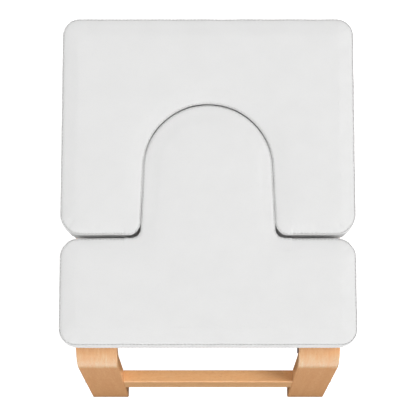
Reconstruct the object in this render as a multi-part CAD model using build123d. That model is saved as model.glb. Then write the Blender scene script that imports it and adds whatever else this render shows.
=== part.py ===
from build123d import *
import os
from math import cos, radians, sin, tan

os.makedirs("parts", exist_ok=True)

# Padded headstand stool. Two bentwood side frames are tied by a front and a rear stretcher and by a
# slat under the seat. A U-shaped shoulder pad is bolted to the frames, and a T-shaped insert pad drops
# into its opening and lifts off. Millimetres; origin on the floor midway between the four feet,
# +X to the sitter's right, +Y to the rear, +Z up.

# Seat
SEAT_WIDTH = 392.0
SEAT_FRONT_Y = -219.0
SEAT_REAR_Y = 221.0
SEAT_HEIGHT = 392.0
INSERT_BODY_DEPTH = 140.5
PAD_GAP = 6.6
OPENING_RADIUS = 85.8
OPENING_CENTRE_Y = 16.6
OPENING_FLARE = 2.4
SLIT = 1.5
REAR_CORNER = 23.0
ARM_CORNER = 27.0
MOUTH_CORNER = 16.0
INSERT_FRONT_CORNER = 22.0
INSERT_REAR_CORNER = 24.0
INSERT_NECK_FILLET = 12.0

# Pad build-up, from the rails upwards
DUST_COVER = 0.6
LEATHER = 1.2
BOARD = 12.0
FOAM = 46.0
TOP_EDGE_ROUND = 4.0
SEAM_DEPTH = 4.0
HEM_WIDTH = 22.0
DUST_COVER_INSET = 17.0
STAPLE_INSET = 9.0
STAPLE_PITCH = 40.0
INSERT_REST_GAP = 0.2

# Bentwood side frames
STRIP_THICKNESS = 18.0
STRIP_WIDTH = 56.0
FRAME_OUTER_X = 179.5
RAIL_STRAIGHT = 360.0
BEND_RADIUS = 65.0
SPLAY = 7.4
EDGE_ROUND = 2.0

# Feet
FOOT_PAD_HEIGHT = 3.0
FOOT_PAD_MARGIN = 1.5
FOOT_PAD_CORNER = 3.0
FOOT_PAD_CHAMFER = 0.6

# Stretchers and the slat that carries the insert's tongue
STRETCHER_HEIGHT = 50.0
STRETCHER_MIDDLE_Z = 126.0
STRETCHER_ROUND = 2.0
SLAT_WIDTH = 40.0
SLAT_MIDDLE_Y = 104.0

# Hardware
SHANK_RADIUS = 3.0
CLEARANCE_RADIUS = 3.25
HEAD_RADIUS = 6.0
HEAD_HEIGHT = 2.5
HEAD_ROUND = 1.2
HEX_ACROSS = 4.0
HEX_DEPTH = 1.8
FRAME_BOLT_LENGTH = 85.0
NUT_RADIUS = 5.0
NUT_LENGTH = 14.0
NUT_SETBACK = 25.0
DOWEL_RADIUS = 4.0
DOWEL_LENGTH = 40.0
STRETCHER_DOWEL_OFFSET = 15.0
SLAT_DOWEL_OFFSET = 12.5
PAD_BOLT_LENGTH = 29.0
PAD_BOLT_Y = (-30.0, 150.0)
WASHER_RADIUS = 8.0
WASHER_THICKNESS = 1.2
TEE_FLANGE_RADIUS = 9.0
TEE_FLANGE_THICKNESS = 1.0
TEE_BARREL_RADIUS = 4.0
TEE_BARREL_LENGTH = 8.0
PEG_RADIUS = 5.0
PEG_PROJECTION = 12.0
PEG_CHAMFER = 1.5
PEG_SOCKET_RADIUS = 5.3
PEG_SOCKET_DEPTH = 14.0
PEG_Y = (-165.0, -112.0)
FOOT_SCREW_RADIUS = 1.75
FOOT_SCREW_LENGTH = 16.0
FOOT_SCREW_HEAD_RADIUS = 3.5
FOOT_SCREW_RECESS = 0.8
FOOT_SCREW_SOCKET_RADIUS = 1.4
FOOT_SCREW_SOCKET_DEPTH = 1.2
STAPLE_CROWN = 10.0
STAPLE_WIRE = 0.5
STAPLE_WIRE_WIDTH = 1.2
STAPLE_LEG = 8.0

# Pull tab of folded webbing, by the right-hand rail
TAB_THICKNESS = 2.6
TAB_HEIGHT = 14.0
TAB_DEPTH = 22.0
TAB_PROJECTION = 6.0
TAB_CLEARANCE = 0.7
TAB_BEAD_RADIUS = 1.9
TAB_BEAD_HEIGHT = 8.4

# Heights and places that follow
RAIL_TOP = SEAT_HEIGHT - DUST_COVER - LEATHER - BOARD - FOAM - LEATHER
RAIL_MIDDLE = RAIL_TOP - STRIP_THICKNESS / 2
HEM_BOTTOM = RAIL_TOP + DUST_COVER
BOARD_BOTTOM = HEM_BOTTOM + LEATHER
BOARD_TOP = BOARD_BOTTOM + BOARD
SEAM_Z = SEAT_HEIGHT - SEAM_DEPTH
FRAME_INNER_X = FRAME_OUTER_X - STRIP_WIDTH
STRIP_MIDDLE_X = FRAME_OUTER_X - STRIP_WIDTH / 2
BEND_Y = RAIL_STRAIGHT / 2
BEND_Z = RAIL_TOP - BEND_RADIUS
INSERT_REAR_Y = SEAT_FRONT_Y + INSERT_BODY_DEPTH
MOUTH_Y = INSERT_REAR_Y + PAD_GAP


def leg_outer_y(z):
    """How far the leg's outer face stands from the middle of the stool at height z."""
    tangent_y = BEND_Y + BEND_RADIUS * cos(radians(SPLAY))
    tangent_z = BEND_Z + BEND_RADIUS * sin(radians(SPLAY))
    return tangent_y + (tangent_z - z) * tan(radians(SPLAY))


def leg_middle_y(z):
    return leg_outer_y(z) - STRIP_THICKNESS / 2 / cos(radians(SPLAY))


def both_sides(shape):
    return [shape, mirror(shape, about=Plane.YZ)]


def four_corners(shape):
    return both_sides(shape) + both_sides(mirror(shape, about=Plane.XZ))


def joined(shapes):
    """Several separate solids as one node."""
    return Compound(children=[solid for shape in shapes for solid in shape.solids()])


def cut(shape, tools):
    """The shape with every tool that reaches it cut away."""
    for tool in tools:
        shape = shape - tool
    return shape


def along_x(radius, length, x, y, z):
    """A cylinder along X whose low end is at x."""
    return Pos(x, y, z) * Rot(Y=90) * extrude(Circle(radius), length)


def along_z(radius, length, x, y, z):
    """A cylinder along Z whose low end is at z."""
    return Pos(x, y, z) * extrude(Circle(radius), length)


# Wooden frame ---------------------------------------------------------------------------------


def side_profile():
    """The bent strip seen from the side: a rail, two quarter bends and two splayed legs."""
    inner_radius = BEND_RADIUS - STRIP_THICKNESS
    slope = radians(SPLAY)
    half_turn = radians((90 + SPLAY) / 2)
    foot_y = leg_outer_y(FOOT_PAD_HEIGHT)
    foot_inner_y = foot_y - STRIP_THICKNESS / cos(slope)
    rail_bottom = RAIL_TOP - STRIP_THICKNESS

    def on_bend(radius, angle):
        return (BEND_Y + radius * cos(angle), BEND_Z + radius * sin(angle))

    right_half = [
        Line((0, RAIL_TOP), (BEND_Y, RAIL_TOP)),
        ThreePointArc((BEND_Y, RAIL_TOP), on_bend(BEND_RADIUS, half_turn), on_bend(BEND_RADIUS, slope)),
        Line(on_bend(BEND_RADIUS, slope), (foot_y, FOOT_PAD_HEIGHT)),
        Line((foot_y, FOOT_PAD_HEIGHT), (foot_inner_y, FOOT_PAD_HEIGHT)),
        Line((foot_inner_y, FOOT_PAD_HEIGHT), on_bend(inner_radius, slope)),
        ThreePointArc(on_bend(inner_radius, slope), on_bend(inner_radius, half_turn), (BEND_Y, rail_bottom)),
        Line((BEND_Y, rail_bottom), (0, rail_bottom)),
    ]
    left_half = [mirror(edge, about=Plane.YZ) for edge in right_half]
    return make_face(right_half + left_half)


def side_frame():
    """The right-hand frame, with its holes. The left-hand one is its mirror image."""
    strip = extrude(Plane.YZ.offset(FRAME_INNER_X) * side_profile(), STRIP_WIDTH)
    long_edges = [
        edge
        for edge in strip.edges()
        if edge.bounding_box().size.X < 0.01 and edge.center().Z > FOOT_PAD_HEIGHT + 1
    ]
    strip = fillet(long_edges, EDGE_ROUND)
    sockets = [
        along_z(PEG_SOCKET_RADIUS, PEG_SOCKET_DEPTH, STRIP_MIDDLE_X, y, RAIL_TOP - PEG_SOCKET_DEPTH)
        for y in PEG_Y
    ]
    pad_bolt_holes = [
        along_z(CLEARANCE_RADIUS, STRIP_THICKNESS, STRIP_MIDDLE_X, y, RAIL_TOP - STRIP_THICKNESS)
        for y in PAD_BOLT_Y
    ]
    return cut(strip, sockets + pad_bolt_holes + joint_holes(CLEARANCE_RADIUS) + foot_screw_holes())


def stretcher_frame(shape):
    """Puts a shape drawn upright about the origin into the tilted place of the front stretcher."""
    return Pos(0, -leg_middle_y(STRETCHER_MIDDLE_Z), STRETCHER_MIDDLE_Z) * Rot(X=-SPLAY) * shape


def stretcher():
    """The front stretcher, parallel to the legs and flush with them."""
    length = 2 * FRAME_INNER_X
    bar = Box(length, STRIP_THICKNESS, STRETCHER_HEIGHT)
    bar = fillet(bar.edges().filter_by(Axis.X), STRETCHER_ROUND)
    return cut(stretcher_frame(bar), both_stretcher_ends())


def both_stretcher_ends():
    return [mirrored for tool in stretcher_end_holes(CLEARANCE_RADIUS) for mirrored in both_sides(tool)]


def bolt_hole(radius):
    """A frame bolt's hole, from the leg's outer edge to past the bolt's tip."""
    length = FRAME_BOLT_LENGTH + 3
    return along_x(radius, length, FRAME_OUTER_X - length, 0, 0)


def dowel(offset_y, offset_z):
    """A dowel centred on the joint face between a frame and a cross piece."""
    return along_x(DOWEL_RADIUS, DOWEL_LENGTH, FRAME_INNER_X - DOWEL_LENGTH / 2, offset_y, offset_z)


def stretcher_dowels():
    return [dowel(0, side * STRETCHER_DOWEL_OFFSET) for side in (-1, 1)]


def slat_dowels():
    return [Pos(0, SLAT_MIDDLE_Y, RAIL_MIDDLE) * dowel(side * SLAT_DOWEL_OFFSET, 0) for side in (-1, 1)]


def stretcher_nut():
    """A barrel nut let into the stretcher from its inner face."""
    barrel = Rot(X=90) * extrude(Circle(NUT_RADIUS), NUT_LENGTH)
    return Pos(FRAME_INNER_X - NUT_SETBACK, STRIP_THICKNESS / 2, 0) * barrel


def slat_nut():
    """A barrel nut let into the slat from below."""
    bottom = RAIL_TOP - STRIP_THICKNESS
    return along_z(NUT_RADIUS, NUT_LENGTH, FRAME_INNER_X - NUT_SETBACK, SLAT_MIDDLE_Y, bottom)


def stretcher_end_holes(bolt_radius):
    """What is drilled at the right-hand end of the front stretcher and in the leg beside it."""
    return [stretcher_frame(t) for t in [bolt_hole(bolt_radius), stretcher_nut(), *stretcher_dowels()]]


def slat_end_holes(bolt_radius):
    bolt = Pos(0, SLAT_MIDDLE_Y, RAIL_MIDDLE) * bolt_hole(bolt_radius)
    return [bolt, slat_nut(), *slat_dowels()]


def joint_holes(bolt_radius):
    """Everything drilled in the right-hand frame for its cross pieces."""
    front = stretcher_end_holes(bolt_radius)
    rear = [mirror(tool, about=Plane.XZ) for tool in front]
    return front + rear + slat_end_holes(bolt_radius)


def slat():
    """The slat between the rails on which the tip of the insert's tongue rests."""
    bar = Pos(0, SLAT_MIDDLE_Y, RAIL_MIDDLE) * Box(2 * FRAME_INNER_X, SLAT_WIDTH, STRIP_THICKNESS)
    bar = fillet(bar.edges().filter_by(Axis.X), STRETCHER_ROUND)
    ends = [mirrored for tool in slat_end_holes(CLEARANCE_RADIUS) for mirrored in both_sides(tool)]
    return cut(bar, ends)


# Feet -----------------------------------------------------------------------------------------


def foot_centre_y():
    return -leg_middle_y(FOOT_PAD_HEIGHT)


def foot_screw_blank():
    """A countersunk screw standing on its head, without its driver socket."""
    head_height = FOOT_SCREW_HEAD_RADIUS - FOOT_SCREW_RADIUS
    on_base = (Align.CENTER, Align.CENTER, Align.MIN)
    head = Cone(FOOT_SCREW_HEAD_RADIUS, FOOT_SCREW_RADIUS, head_height, align=on_base)
    shank = extrude(Circle(FOOT_SCREW_RADIUS), FOOT_SCREW_LENGTH)
    return Pos(0, 0, FOOT_SCREW_RECESS) * (head + shank)


def foot_screw():
    """The screw at the front right foot."""
    socket = extrude(RegularPolygon(FOOT_SCREW_SOCKET_RADIUS, 6), FOOT_SCREW_SOCKET_DEPTH)
    screw = foot_screw_blank() - Pos(0, 0, FOOT_SCREW_RECESS) * socket
    return Pos(STRIP_MIDDLE_X, foot_centre_y(), 0) * screw


def foot_screw_holes():
    hole = Pos(STRIP_MIDDLE_X, foot_centre_y(), 0) * foot_screw_blank()
    return [hole, mirror(hole, about=Plane.XZ)]


def foot_pad():
    """The rubber pad under the front right leg, with its screw's countersunk hole."""
    width = STRIP_WIDTH - 2 * FOOT_PAD_MARGIN
    depth = STRIP_THICKNESS / cos(radians(SPLAY)) - 2 * FOOT_PAD_MARGIN
    pad = extrude(RectangleRounded(width, depth, FOOT_PAD_CORNER), FOOT_PAD_HEIGHT)
    pad = chamfer(pad.faces().sort_by(Axis.Z)[0].edges(), FOOT_PAD_CHAMFER)
    recess = extrude(Circle(FOOT_SCREW_HEAD_RADIUS), FOOT_SCREW_RECESS)
    pad = cut(pad, [recess, foot_screw_blank()])
    return Pos(STRIP_MIDDLE_X, foot_centre_y(), 0) * pad


# Hardware -------------------------------------------------------------------------------------


def bolt(length):
    """A domed socket bolt whose shank runs down from the origin and whose head stands above it."""
    head = extrude(Circle(HEAD_RADIUS), HEAD_HEIGHT)
    head = fillet(head.faces().sort_by(Axis.Z)[-1].edges(), HEAD_ROUND)
    hexagon = RegularPolygon(HEX_ACROSS / 2, 6, major_radius=False)
    socket = Pos(0, 0, HEAD_HEIGHT - HEX_DEPTH) * extrude(hexagon, HEX_DEPTH)
    shank = extrude(Circle(SHANK_RADIUS), -length)
    return (head - socket) + shank


def frame_bolts():
    """Six bolts, each through a frame from its outer edge into a cross piece."""
    sideways = Pos(FRAME_OUTER_X, 0, 0) * Rot(Y=90) * bolt(FRAME_BOLT_LENGTH)
    at_slat = Pos(0, SLAT_MIDDLE_Y, RAIL_MIDDLE) * sideways
    return joined(four_corners(stretcher_frame(sideways)) + both_sides(at_slat))


def barrel_nuts():
    thread = bolt_hole(SHANK_RADIUS)
    at_stretcher = stretcher_frame(stretcher_nut() - thread)
    at_slat = slat_nut() - Pos(0, SLAT_MIDDLE_Y, RAIL_MIDDLE) * thread
    return joined(four_corners(at_stretcher) + both_sides(at_slat))


def frame_dowels():
    at_stretchers = [d for shape in stretcher_dowels() for d in four_corners(stretcher_frame(shape))]
    at_slat = [d for shape in slat_dowels() for d in both_sides(shape)]
    return joined(at_stretchers + at_slat)


def pad_bolts():
    rail_bottom = RAIL_TOP - STRIP_THICKNESS
    upward = Pos(STRIP_MIDDLE_X, 0, rail_bottom - WASHER_THICKNESS) * Rot(X=180) * bolt(PAD_BOLT_LENGTH)
    return joined([b for y in PAD_BOLT_Y for b in both_sides(Pos(0, y, 0) * upward)])


def pad_washers():
    rail_bottom = RAIL_TOP - STRIP_THICKNESS
    ring = extrude(Circle(WASHER_RADIUS) - Circle(CLEARANCE_RADIUS), WASHER_THICKNESS)
    ring = Pos(STRIP_MIDDLE_X, 0, rail_bottom - WASHER_THICKNESS) * ring
    return joined([w for y in PAD_BOLT_Y for w in both_sides(Pos(0, y, 0) * ring)])


def tee_nut_blank(y):
    """A tee nut's outside: a flange let into the board's top and a barrel below it."""
    flange_bottom = BOARD_TOP - TEE_FLANGE_THICKNESS
    flange = along_z(TEE_FLANGE_RADIUS, TEE_FLANGE_THICKNESS, STRIP_MIDDLE_X, y, flange_bottom)
    barrel_bottom = flange_bottom - TEE_BARREL_LENGTH
    return flange + along_z(TEE_BARREL_RADIUS, TEE_BARREL_LENGTH, STRIP_MIDDLE_X, y, barrel_bottom)


def tee_nuts():
    nuts = []
    for y in PAD_BOLT_Y:
        thread = along_z(SHANK_RADIUS, BOARD, STRIP_MIDDLE_X, y, BOARD_BOTTOM)
        nuts += both_sides(tee_nut_blank(y) - thread)
    return joined(nuts)


def shoulder_board_holes():
    """Holes for the tee nuts and the bolts that enter them."""
    tools = []
    for y in PAD_BOLT_Y:
        through = along_z(CLEARANCE_RADIUS, BOARD_TOP - RAIL_TOP, STRIP_MIDDLE_X, y, RAIL_TOP)
        tools += both_sides(tee_nut_blank(y)) + both_sides(through)
    return tools


def peg(y):
    """A locating peg, glued through the insert's board and standing out below it."""
    bottom = RAIL_TOP + INSERT_REST_GAP - PEG_PROJECTION
    shape = along_z(PEG_RADIUS, BOARD_TOP - bottom, STRIP_MIDDLE_X, y, bottom)
    return chamfer(shape.faces().sort_by(Axis.Z)[0].edges(), PEG_CHAMFER)


def pegs():
    return [p for y in PEG_Y for p in both_sides(peg(y))]


# Pads -----------------------------------------------------------------------------------------


def opening_sketch(grow, bottom_y):
    """The rounded, slightly flared tongue shape, grown outwards, cut off straight at bottom_y."""
    radius = OPENING_RADIUS + grow
    flare = radians(OPENING_FLARE)
    tangent_x = radius * cos(flare)
    tangent_y = OPENING_CENTRE_Y + radius * sin(flare)
    bottom_x = tangent_x + (tangent_y - bottom_y) * tan(flare)
    outline = [
        Line((-bottom_x, bottom_y), (bottom_x, bottom_y)),
        Line((bottom_x, bottom_y), (tangent_x, tangent_y)),
        ThreePointArc((tangent_x, tangent_y), (0, OPENING_CENTRE_Y + radius), (-tangent_x, tangent_y)),
        Line((-tangent_x, tangent_y), (-bottom_x, bottom_y)),
    ]
    return make_face(outline)


def rounded_rectangle(low_y, high_y, low_corner, high_corner):
    """A rectangle of the seat's width whose front and rear corners have radii of their own."""
    plain = Pos(0, (low_y + high_y) / 2) * Rectangle(SEAT_WIDTH, high_y - low_y)
    by_y = plain.vertices().sort_by(Axis.Y)
    plain = fillet(by_y[:2], low_corner)
    return fillet(plain.vertices().sort_by(Axis.Y)[-2:], high_corner)


def shoulder_outline():
    """The U-shaped pad seen from above."""
    past_mouth = MOUTH_Y - 50
    plain = rounded_rectangle(MOUTH_Y, SEAT_REAR_Y, ARM_CORNER, REAR_CORNER)
    shape = plain - opening_sketch(SLIT / 2, past_mouth)
    mouth = [v for v in shape.vertices() if abs(v.Y - MOUTH_Y) < 0.01 and abs(v.X) < SEAT_WIDTH / 3]
    return fillet(mouth, MOUTH_CORNER)


def insert_outline():
    """The T-shaped pad seen from above."""
    body = rounded_rectangle(SEAT_FRONT_Y, INSERT_REAR_Y, INSERT_FRONT_CORNER, INSERT_REAR_CORNER)
    shape = body + opening_sketch(-SLIT / 2, INSERT_REAR_Y - 10)
    neck = [v for v in shape.vertices() if abs(v.Y - INSERT_REAR_Y) < 0.01 and abs(v.X) < SEAT_WIDTH / 3]
    return fillet(neck, INSERT_NECK_FILLET)


def slab(outline, inset, bottom, top):
    """The outline drawn in by inset and raised from bottom to top."""
    sketch = offset(outline, -inset) if inset else outline
    return Pos(0, 0, bottom) * extrude(sketch, top - bottom)


def rounded_on_top(block, radius):
    return fillet(block.faces().sort_by(Axis.Z)[-1].edges(), radius)


def pad(outline, bottom):
    """The layers of one pad: board, foam, leather top and side, and the dust cover underneath."""
    outside = rounded_on_top(slab(outline, 0, HEM_BOTTOM, SEAT_HEIGHT), TOP_EDGE_ROUND)
    inside = rounded_on_top(
        slab(outline, LEATHER, BOARD_BOTTOM, SEAT_HEIGHT - LEATHER), TOP_EDGE_ROUND - LEATHER
    )
    skin = outside - inside - slab(outline, HEM_WIDTH, HEM_BOTTOM - 1, BOARD_BOTTOM + 1)
    return {
        "board": slab(outline, LEATHER, BOARD_BOTTOM, BOARD_TOP),
        "foam": inside - slab(outline, 0, BOARD_BOTTOM - 1, BOARD_TOP),
        "top_panel": skin - slab(outline, -1, HEM_BOTTOM - 1, SEAM_Z),
        "side_band": skin - slab(outline, -1, SEAM_Z, SEAT_HEIGHT + 1),
        "dust_cover": slab(outline, DUST_COVER_INSET, bottom, HEM_BOTTOM),
        "staples": staples(outline),
    }


def staple():
    """A staple whose crown lies under the hem along X and whose legs point up."""
    crown = Pos(0, 0, -STAPLE_WIRE / 2) * Box(STAPLE_CROWN, STAPLE_WIRE_WIDTH, STAPLE_WIRE)
    leg_x = (STAPLE_CROWN - STAPLE_WIRE) / 2
    leg = Pos(leg_x, 0, STAPLE_LEG / 2) * Box(STAPLE_WIRE, STAPLE_WIRE_WIDTH, STAPLE_LEG)
    return crown + leg + mirror(leg, about=Plane.YZ)


def staples(outline):
    """Staples round the hem, at an even pitch."""
    line = offset(outline, -STAPLE_INSET).wires()[0]
    count = round(line.length / STAPLE_PITCH)
    placed = []
    for index in range(count):
        place = line.position_at(index / count)
        along = line.tangent_at(index / count)
        turn = Vector(1, 0, 0).get_signed_angle(along, Vector(0, 0, 1))
        placed.append(Pos(place.X, place.Y, HEM_BOTTOM) * Rot(Z=turn) * staple())
    return joined(placed)


def pull_tab():
    """Folded webbing sewn under the insert's front edge, thickest at its stitched end."""
    inner_x = FRAME_INNER_X - TAB_CLEARANCE - TAB_THICKNESS
    end_y = SEAT_FRONT_Y - TAB_PROJECTION
    bottom = HEM_BOTTOM - TAB_HEIGHT
    strap = Pos(inner_x, end_y, bottom) * Box(
        TAB_THICKNESS, TAB_DEPTH, TAB_HEIGHT, align=(Align.MIN, Align.MIN, Align.MIN)
    )
    low_edges = [e for e in strap.edges().filter_by(Axis.X) if e.center().Z < bottom + 0.1]
    strap = fillet(low_edges, TAB_HEIGHT / 3)
    bead_x = inner_x + TAB_THICKNESS - TAB_BEAD_RADIUS
    bead_y = end_y + TAB_BEAD_RADIUS / 2
    bead = along_z(TAB_BEAD_RADIUS, TAB_BEAD_HEIGHT, bead_x, bead_y, HEM_BOTTOM - TAB_BEAD_HEIGHT)
    return strap + bead


# Assembly -------------------------------------------------------------------------------------

nodes = {}

right_frame = side_frame()
nodes["right_side_frame"] = right_frame
nodes["left_side_frame"] = mirror(right_frame, about=Plane.YZ)
front_stretcher = stretcher()
nodes["front_stretcher"] = front_stretcher
nodes["rear_stretcher"] = mirror(front_stretcher, about=Plane.XZ)
nodes["tongue_rest_slat"] = slat()
nodes["frame_dowels"] = frame_dowels()
nodes["frame_bolts"] = frame_bolts()
nodes["barrel_nuts"] = barrel_nuts()

foot_names = ("front_right", "front_left", "rear_right", "rear_left")
for name, foot in zip(foot_names, four_corners(foot_pad())):
    nodes["foot_pad_" + name] = foot
nodes["foot_screws"] = joined(four_corners(foot_screw()))

shoulder = pad(shoulder_outline(), RAIL_TOP)
shoulder["board"] = cut(shoulder["board"], shoulder_board_holes())
shoulder["dust_cover"] = cut(shoulder["dust_cover"], shoulder_board_holes())
insert = pad(insert_outline(), RAIL_TOP + INSERT_REST_GAP)
insert["board"] = cut(insert["board"], pegs())
insert["dust_cover"] = cut(insert["dust_cover"], pegs())
for name, shape in shoulder.items():
    nodes["shoulder_pad_" + name] = shape
for name, shape in insert.items():
    nodes["insert_pad_" + name] = shape
nodes["shoulder_pad_bolts"] = pad_bolts()
nodes["shoulder_pad_washers"] = pad_washers()
nodes["shoulder_pad_tee_nuts"] = tee_nuts()
nodes["insert_pad_pegs"] = joined(pegs())
nodes["insert_pad_pull_tab"] = pull_tab()

for name, shape in nodes.items():
    export_step(shape, "parts/" + name + ".step")
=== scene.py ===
import math

import bpy
import numpy as np
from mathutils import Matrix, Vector
from mathutils.geometry import delaunay_2d_cdt
from mathutils.kdtree import KDTree


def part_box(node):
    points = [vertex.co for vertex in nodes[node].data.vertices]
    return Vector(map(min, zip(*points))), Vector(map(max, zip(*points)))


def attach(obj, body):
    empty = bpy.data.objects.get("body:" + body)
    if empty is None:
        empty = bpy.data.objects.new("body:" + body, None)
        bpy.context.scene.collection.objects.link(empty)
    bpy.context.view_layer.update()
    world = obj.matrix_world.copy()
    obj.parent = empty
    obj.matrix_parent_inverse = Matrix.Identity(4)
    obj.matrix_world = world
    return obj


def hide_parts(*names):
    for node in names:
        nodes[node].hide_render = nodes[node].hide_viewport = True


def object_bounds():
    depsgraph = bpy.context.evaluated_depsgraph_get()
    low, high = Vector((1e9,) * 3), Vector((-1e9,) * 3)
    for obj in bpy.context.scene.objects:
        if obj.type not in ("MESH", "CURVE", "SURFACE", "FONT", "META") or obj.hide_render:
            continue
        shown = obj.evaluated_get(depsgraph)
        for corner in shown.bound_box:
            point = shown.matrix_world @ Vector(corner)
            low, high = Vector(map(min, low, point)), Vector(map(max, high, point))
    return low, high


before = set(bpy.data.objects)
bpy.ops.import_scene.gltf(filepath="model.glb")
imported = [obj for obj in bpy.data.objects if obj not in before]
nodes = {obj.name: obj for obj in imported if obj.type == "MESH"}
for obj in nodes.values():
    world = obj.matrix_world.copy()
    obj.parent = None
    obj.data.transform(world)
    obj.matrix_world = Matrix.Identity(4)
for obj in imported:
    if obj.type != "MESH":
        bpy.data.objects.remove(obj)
cad_low, cad_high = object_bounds()

MM = 0.001

# Outlines of the two pads: corner radii, the opening's flare and how far its round end stands back
REAR_CORNER = 23 * MM
ARM_CORNER = 27 * MM
MOUTH_CORNER = 16 * MM
INSERT_FRONT_CORNER = 22 * MM
INSERT_REAR_CORNER = 24 * MM
NECK_FILLET = 14 * MM
OPENING_RADIUS = 86.55 * MM
TONGUE_RADIUS = 85.05 * MM
OPENING_CENTRE_Y = 16.6 * MM
FLARE = math.radians(2.4)
PAD_GAP = 6.6 * MM

# Where the two pads face each other across the narrow slit, and how far each swells into it
MOUTH_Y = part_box("shoulder_pad_side_band")[0].y
SLIT_REACH_X = OPENING_RADIUS + MOUTH_CORNER + 8 * MM
SLIT_LOW_Y = MOUTH_Y - 30 * MM
SLIT_HIGH_Y = OPENING_CENTRE_Y + OPENING_RADIUS + 5 * MM
SLIT_SWELL_SIDE = 0.2 * MM
SLIT_SWELL_ARCH = -0.5 * MM
SLIT_SWELL_FADE = 10 * MM
SLIT_SQUARENESS = 0.9 * MM

# Where the two pads face each other across the wider gap, and how far each swells into it
GAP_MIDDLE_Y = MOUTH_Y - PAD_GAP / 2
GAP_REACH_Y = 9 * MM
GAP_SWELL = 1.0 * MM

# Upholstery
STITCH_PITCH = 4.8 * MM
POINTS_PER_STITCH = 4
STITCH_SPAN = 3.2 * MM
THREAD_RADIUS = 0.36 * MM
LEATHER = 1.05 * MM
PANEL_RIM = 11 * MM
PANEL_RIM_DROP = 0.15 * MM
PUCKER = 0.16 * MM
SEAM_WANDER = 0.12 * MM
FILL_PITCH = 5 * MM
FOAM_FILL_PITCH = 8 * MM
FOAM_BASE_PITCH = 15 * MM
CROWN = 0.6 * MM
CROWN_REACH = 22 * MM
DUST_COVER_INSET = 17 * MM
DUST_CLOTH = 0.30 * MM
DUST_CLOTH_ROOM = 0.35 * MM
DUST_CLOTH_RIPPLE = 0.04 * MM
DUST_CLOTH_PITCH = 7.5 * MM
DUST_CLOTH_EDGE_PITCH = 2.5 * MM

# Heights of the cover's fold and groove in millimetres from its top, where it faces the slit and elsewhere,
# and how much of its edge's roundness is kept where it faces the slit and across the gap
FOLD_HEIGHTS = (-3.0, -2.6)
GROOVE_HEIGHTS = (-3.6, -3.5)
SLIT_ROUNDNESS = 0.45
GAP_ROUNDNESS = 0.7

# Rings of the cover that the thread draws in, each with its strength, and the rings that it runs along
PANEL_PUCKERS = {2: 0.6, 3: 1.0, 4: 0.6}
BAND_PUCKERS = {6: 0.5, 7: 1.3, 8: 0.9, 15: 0.5, 16: 1.0, 17: 1.2, 18: 0.8}
SEAM_RING = 3
HEM_RING = 7

# Simulation of the foam's pressure on the covers, and how far a cover may move
SIM_STRIDE = 5
SIM_FILL_PITCH = 9 * MM
SIM_FRAMES = 16
SIM_PRESSURE = 4.0
TOP_SWELL_CAP = 0.6 * MM
SIDE_SWELL_CAP = 0.5 * MM
FACING_SWELL_SHARE = 0.25

# Pull tab, a strap folded double
TAB_THICKNESS = 0.7 * MM
TAB_HALF_GAP = 0.45 * MM
TAB_FOLD_RADIUS = 0.9 * MM
TAB_FOLD_ROOM = 1.9 * MM
TAB_FOLD_TRIM = 0.2
TAB_OFFSET = 0.4 * MM
TAB_RIPPLE = 0.05 * MM

# Bent strip of the side frames
RAIL_STRAIGHT = 360 * MM
BEND_RADIUS = 65 * MM
SPLAY = math.radians(7.4)
PLY = 1.5 * MM
PLYWOOD_PLY = 1.33 * MM

# Wood colours; the first is a painted highlight for the outside of the bends, not a colour of the wood
BEECH_PAINTED_HIGHLIGHT = (0.58, 0.70, 0.49)
BEECH_LIGHT = (0.89, 0.50, 0.235)
BEECH_DARK = (0.74, 0.345, 0.135)
BEECH_FLECK = (0.52, 0.21, 0.075)
SOLID_LIGHT = (0.82, 0.50, 0.245)
SOLID_DARK = (0.74, 0.37, 0.145)
PLYWOOD_LIGHT = (0.78, 0.62, 0.42)
PLYWOOD_DARK = (0.66, 0.48, 0.29)
PLYWOOD_FLECK = (0.45, 0.30, 0.16)

# Stage
CAMERA_PLACE = (0.0, -0.313, 2.307)
CAMERA_TILT = math.radians(8.19)
CAMERA_LENS = 126.6
KEY_DIRECTION = (0.36, 0.05, 1.0)
KEY_ANGLE = math.radians(14)
KEY_STRENGTH = 1.73
FILL_DIRECTION = (0.0, -1.0, 1.0)
FILL_ANGLE = math.radians(7)
FILL_STRENGTH = 0.9
SKY_HORIZON = 0.1
SKY_ZENITH = 0.325
SKY_GLOSS = 1.6
FLOOR_REACH = 6.0
FLOOR_DROP = 0.2 * MM
FLOOR_GLOW = 1.0
FLOOR_GLOSS = 2.2
FLOOR_GLOSS_START = 0.14
FLOOR_GLOSS_FADE = 0.07
# The floor's glow lights the stool; under the stool it is dimmed to a painted shadow that fades out just
# beyond it
FLOOR_BOUNCE = 1.4
FLOOR_PAINTED_SHADOW_GLOW = 0.25
FLOOR_BOUNCE_FADE = 0.03

rng = np.random.default_rng(7)


# Small helpers ----------------------------------------------------------------------------------


def new_object(name, points, faces):
    """A smoothly shaded mesh object made of points and faces."""
    mesh = bpy.data.meshes.new(name)
    mesh.from_pydata([tuple(p) for p in points], [], [tuple(f) for f in faces])
    mesh.validate()
    mesh.update()
    mesh.polygons.foreach_set("use_smooth", [True] * len(mesh.polygons))
    obj = bpy.data.objects.new(name, mesh)
    bpy.context.scene.collection.objects.link(obj)
    return obj


def apply_modifiers(obj):
    """Bakes an object's modifiers into its mesh."""
    graph = bpy.context.evaluated_depsgraph_get()
    mesh = bpy.data.meshes.new_from_object(obj.evaluated_get(graph), depsgraph=graph)
    obj.modifiers.clear()
    obj.data = mesh
    return obj


def solidify(obj, thickness, offset=-1.0):
    """Turns an open skin into a closed sheet that lies behind it, or before it where offset is 1."""
    modifier = obj.modifiers.new("thickness", "SOLIDIFY")
    modifier.thickness = thickness
    modifier.offset = offset
    return apply_modifiers(obj)


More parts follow.
